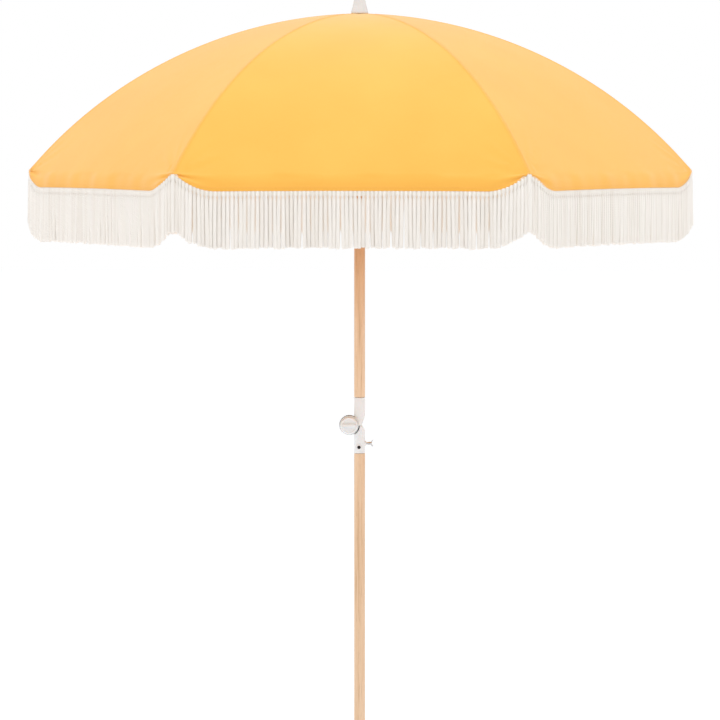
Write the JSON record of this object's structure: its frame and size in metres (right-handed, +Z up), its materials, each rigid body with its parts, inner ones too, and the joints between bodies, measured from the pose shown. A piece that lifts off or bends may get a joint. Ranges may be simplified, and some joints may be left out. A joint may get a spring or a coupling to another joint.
{
  "type": "beach umbrella",
  "caption": "Fringed domed parasol on a two-part wooden pole with a tilting plastic joint, folding ribs and stretchers, and a pointed lower end.",
  "frame": {"origin": "centre of the flat end of the lower pole's point", "axes": "+Z up along the pole, -Y the front, with the joint's knob; +X the side the wing screw is on"},
  "size_m": [1.8024, 1.587, 2.1948],
  "materials": {
    "canopy_cloth": "smooth tightly woven polyester cotton, golden yellow",
    "seam_tape": "woven binding tape",
    "fringe_cord": "soft twisted cotton cord, cream",
    "rib_paint": "white powder coat",
    "white_plastic": "moulded, satin",
    "zinc_steel": "zinc plated",
    "dark_steel": "dark oxide",
    "friction_fibre": "pressed fibre",
    "pole_wood": "clear varnished light wood, long grain"
  },
  "bodies": {
    "lower_mast": {"lower_pole": "pole_wood"},
    "joint_base": {"tilt_joint_lower": "white_plastic", "friction_washer": "friction_fibre", "tilt_bolt": "zinc_steel", "socket_rivet": "dark_steel"},
    "wing_screw_body": {"wing_screw": "zinc_steel"},
    "knob_body": {"tilt_knob": "white_plastic"},
    "upper_mast": {"tilt_joint_upper": "white_plastic", "upper_pole": "pole_wood", "crown_hub": "white_plastic", "crown_ring_wire": "zinc_steel", "crown_washer": "white_plastic", "runner_catch": "zinc_steel"},
    "finial_body": {"finial": "white_plastic"},
    "runner_body": {"runner": "white_plastic"},
    "rib_body_1": {"rib_1": "rib_paint", "rib_tip_cap_1": "white_plastic", "rib_clip_1": "white_plastic", "seam_tape_1": "seam_tape"},
    "stretcher_body_1": {"stretcher_1": "rib_paint"},
    "panel_body_1": {"canopy_panel_1": "canopy_cloth"},
    "fringe_body_1": {"fringe_1": "fringe_cord"},
    "rib_body_2": {"rib_2": "rib_paint", "rib_tip_cap_2": "white_plastic", "rib_clip_2": "white_plastic", "seam_tape_2": "seam_tape"},
    "stretcher_body_2": {"stretcher_2": "rib_paint"},
    "panel_body_2": {"canopy_panel_2": "canopy_cloth"},
    "fringe_body_2": {"fringe_2": "fringe_cord"},
    "rib_body_3": {"rib_3": "rib_paint", "rib_tip_cap_3": "white_plastic", "rib_clip_3": "white_plastic", "seam_tape_3": "seam_tape"},
    "stretcher_body_3": {"stretcher_3": "rib_paint"},
    "panel_body_3": {"canopy_panel_3": "canopy_cloth"},
    "fringe_body_3": {"fringe_3": "fringe_cord"},
    "rib_body_4": {"rib_4": "rib_paint", "rib_tip_cap_4": "white_plastic", "rib_clip_4": "white_plastic", "seam_tape_4": "seam_tape"},
    "stretcher_body_4": {"stretcher_4": "rib_paint"},
    "panel_body_4": {"canopy_panel_4": "canopy_cloth"},
    "fringe_body_4": {"fringe_4": "fringe_cord"},
    "rib_body_5": {"rib_5": "rib_paint", "rib_tip_cap_5": "white_plastic", "rib_clip_5": "white_plastic", "seam_tape_5": "seam_tape"},
    "stretcher_body_5": {"stretcher_5": "rib_paint"},
    "panel_body_5": {"canopy_panel_5": "canopy_cloth"},
    "fringe_body_5": {"fringe_5": "fringe_cord"},
    "rib_body_6": {"rib_6": "rib_paint", "rib_tip_cap_6": "white_plastic", "rib_clip_6": "white_plastic", "seam_tape_6": "seam_tape"},
    "stretcher_body_6": {"stretcher_6": "rib_paint"},
    "panel_body_6": {"canopy_panel_6": "canopy_cloth"},
    "fringe_body_6": {"fringe_6": "fringe_cord"}
  },
  "joints": [
    {"name": "mast_lift_off", "type": "slide", "parent": "lower_mast", "child": "joint_base", "axis": [0, 0, 1], "range_m": [0, 0.06]},
    {"name": "canopy_tilt", "type": "hinge", "parent": "joint_base", "child": "upper_mast", "pos_m": [-0.028, 0, 1.0025], "axis": [0, -1, 0], "range_deg": [0, 45]},
    {"name": "wing_screw_turn", "type": "hinge", "parent": "joint_base", "child": "wing_screw_body", "pos_m": [0.02, 0, 0.9525], "axis": [1, 0, 0], "continuous": true},
    {"name": "tilt_knob_turn", "type": "hinge", "parent": "joint_base", "child": "knob_body", "pos_m": [-0.028, -0.02, 1.0025], "axis": [0, -1, 0], "continuous": true},
    {"name": "finial_turn", "type": "hinge", "parent": "upper_mast", "child": "finial_body", "pos_m": [0, 0, 2.15], "axis": [0, 0, 1], "continuous": true},
    {"name": "runner_slide", "type": "slide", "parent": "upper_mast", "child": "runner_body", "axis": [0, 0, -1], "range_m": [0, 0.6012], "deforming": ["canopy_panel_1", "canopy_panel_2", "canopy_panel_3", "canopy_panel_4", "canopy_panel_5", "canopy_panel_6", "fringe_1", "fringe_2", "fringe_3", "fringe_4", "fringe_5", "fringe_6", "runner_catch"]},
    {"name": "rib_hinge_1", "type": "hinge", "parent": "upper_mast", "child": "rib_body_1", "pos_m": [0.024, 0, 2.105], "axis": [0, 1, 0], "range_deg": [0, 60.01]},
    {"name": "stretcher_hinge_1", "type": "hinge", "parent": "rib_body_1", "child": "stretcher_body_1", "pos_m": [0.42587, 0, 2.01009], "axis": [0, 1, 0], "range_deg": [-120.02, 0]},
    {"name": "panel_fold_1", "type": "hinge", "parent": "upper_mast", "child": "panel_body_1", "pos_m": [0.01819, 0.0105, 2.11], "axis": [-0.5, 0.866, 0], "range_deg": [0, 56.51]},
    {"name": "fringe_hang_1", "type": "hinge", "parent": "panel_body_1", "child": "fringe_body_1", "pos_m": [0.68545, 0.39575, 1.64755], "axis": [-0.5, 0.866, 0], "range_deg": [-56.51, 0]},
    {"name": "rib_hinge_2", "type": "hinge", "parent": "upper_mast", "child": "rib_body_2", "pos_m": [0.012, 0.02079, 2.105], "axis": [-0.866, 0.5, 0], "range_deg": [0, 60.01]},
    {"name": "stretcher_hinge_2", "type": "hinge", "parent": "rib_body_2", "child": "stretcher_body_2", "pos_m": [0.21294, 0.36882, 2.01009], "axis": [-0.866, 0.5, 0], "range_deg": [-120.02, 0]},
    {"name": "panel_fold_2", "type": "hinge", "parent": "upper_mast", "child": "panel_body_2", "pos_m": [0, 0.021, 2.11], "axis": [-1, 0, 0], "range_deg": [0, 56.51]},
    {"name": "fringe_hang_2", "type": "hinge", "parent": "panel_body_2", "child": "fringe_body_2", "pos_m": [0, 0.79149, 1.64755], "axis": [-1, 0, 0], "range_deg": [-56.51, 0]},
    {"name": "rib_hinge_3", "type": "hinge", "parent": "upper_mast", "child": "rib_body_3", "pos_m": [-0.012, 0.02079, 2.105], "axis": [-0.866, -0.5, 0], "range_deg": [0, 60.01]},
    {"name": "stretcher_hinge_3", "type": "hinge", "parent": "rib_body_3", "child": "stretcher_body_3", "pos_m": [-0.21294, 0.36882, 2.01009], "axis": [-0.866, -0.5, 0], "range_deg": [-120.02, 0]},
    {"name": "panel_fold_3", "type": "hinge", "parent": "upper_mast", "child": "panel_body_3", "pos_m": [-0.01819, 0.0105, 2.11], "axis": [-0.5, -0.866, 0], "range_deg": [0, 56.51]},
    {"name": "fringe_hang_3", "type": "hinge", "parent": "panel_body_3", "child": "fringe_body_3", "pos_m": [-0.68545, 0.39575, 1.64755], "axis": [-0.5, -0.866, 0], "range_deg": [-56.51, 0]},
    {"name": "rib_hinge_4", "type": "hinge", "parent": "upper_mast", "child": "rib_body_4", "pos_m": [-0.024, 0, 2.105], "axis": [0, -1, 0], "range_deg": [0, 60.01]},
    {"name": "stretcher_hinge_4", "type": "hinge", "parent": "rib_body_4", "child": "stretcher_body_4", "pos_m": [-0.42587, 0, 2.01009], "axis": [0, -1, 0], "range_deg": [-120.02, 0]},
    {"name": "panel_fold_4", "type": "hinge", "parent": "upper_mast", "child": "panel_body_4", "pos_m": [-0.01819, -0.0105, 2.11], "axis": [0.5, -0.866, 0], "range_deg": [0, 56.51]},
    {"name": "fringe_hang_4", "type": "hinge", "parent": "panel_body_4", "child": "fringe_body_4", "pos_m": [-0.68545, -0.39575, 1.64755], "axis": [0.5, -0.866, 0], "range_deg": [-56.51, 0]},
    {"name": "rib_hinge_5", "type": "hinge", "parent": "upper_mast", "child": "rib_body_5", "pos_m": [-0.012, -0.02079, 2.105], "axis": [0.866, -0.5, 0], "range_deg": [0, 60.01]},
    {"name": "stretcher_hinge_5", "type": "hinge", "parent": "rib_body_5", "child": "stretcher_body_5", "pos_m": [-0.21294, -0.36882, 2.01009], "axis": [0.866, -0.5, 0], "range_deg": [-120.02, 0]},
    {"name": "panel_fold_5", "type": "hinge", "parent": "upper_mast", "child": "panel_body_5", "pos_m": [0, -0.021, 2.11], "axis": [1, 0, 0], "range_deg": [0, 56.51]},
    {"name": "fringe_hang_5", "type": "hinge", "parent": "panel_body_5", "child": "fringe_body_5", "pos_m": [0, -0.79149, 1.64755], "axis": [1, 0, 0], "range_deg": [-56.51, 0]},
    {"name": "rib_hinge_6", "type": "hinge", "parent": "upper_mast", "child": "rib_body_6", "pos_m": [0.012, -0.02079, 2.105], "axis": [0.866, 0.5, 0], "range_deg": [0, 60.01]},
    {"name": "stretcher_hinge_6", "type": "hinge", "parent": "rib_body_6", "child": "stretcher_body_6", "pos_m": [0.21294, -0.36882, 2.01009], "axis": [0.866, 0.5, 0], "range_deg": [-120.02, 0]},
    {"name": "panel_fold_6", "type": "hinge", "parent": "upper_mast", "child": "panel_body_6", "pos_m": [0.01819, -0.0105, 2.11], "axis": [0.5, 0.866, 0], "range_deg": [0, 56.51]},
    {"name": "fringe_hang_6", "type": "hinge", "parent": "panel_body_6", "child": "fringe_body_6", "pos_m": [0.68545, -0.39575, 1.64755], "axis": [0.5, 0.866, 0], "range_deg": [-56.51, 0]}
  ],
  "couplings": [
    {"joint": "rib_hinge_1", "follows": "runner_slide", "rad_per_m": 1.7418},
    {"joint": "stretcher_hinge_1", "follows": "runner_slide", "rad_per_m": -3.4837},
    {"joint": "panel_fold_1", "follows": "runner_slide", "rad_per_m": 1.6402},
    {"joint": "fringe_hang_1", "follows": "runner_slide", "rad_per_m": -1.6402},
    {"joint": "rib_hinge_2", "follows": "runner_slide", "rad_per_m": 1.7418},
    {"joint": "stretcher_hinge_2", "follows": "runner_slide", "rad_per_m": -3.4837},
    {"joint": "panel_fold_2", "follows": "runner_slide", "rad_per_m": 1.6402},
    {"joint": "fringe_hang_2", "follows": "runner_slide", "rad_per_m": -1.6402},
    {"joint": "rib_hinge_3", "follows": "runner_slide", "rad_per_m": 1.7418},
    {"joint": "stretcher_hinge_3", "follows": "runner_slide", "rad_per_m": -3.4837},
    {"joint": "panel_fold_3", "follows": "runner_slide", "rad_per_m": 1.6402},
    {"joint": "fringe_hang_3", "follows": "runner_slide", "rad_per_m": -1.6402},
    {"joint": "rib_hinge_4", "follows": "runner_slide", "rad_per_m": 1.7418},
    {"joint": "stretcher_hinge_4", "follows": "runner_slide", "rad_per_m": -3.4837},
    {"joint": "panel_fold_4", "follows": "runner_slide", "rad_per_m": 1.6402},
    {"joint": "fringe_hang_4", "follows": "runner_slide", "rad_per_m": -1.6402},
    {"joint": "rib_hinge_5", "follows": "runner_slide", "rad_per_m": 1.7418},
    {"joint": "stretcher_hinge_5", "follows": "runner_slide", "rad_per_m": -3.4837},
    {"joint": "panel_fold_5", "follows": "runner_slide", "rad_per_m": 1.6402},
    {"joint": "fringe_hang_5", "follows": "runner_slide", "rad_per_m": -1.6402},
    {"joint": "rib_hinge_6", "follows": "runner_slide", "rad_per_m": 1.7418},
    {"joint": "stretcher_hinge_6", "follows": "runner_slide", "rad_per_m": -3.4837},
    {"joint": "panel_fold_6", "follows": "runner_slide", "rad_per_m": 1.6402},
    {"joint": "fringe_hang_6", "follows": "runner_slide", "rad_per_m": -1.6402}
  ]
}
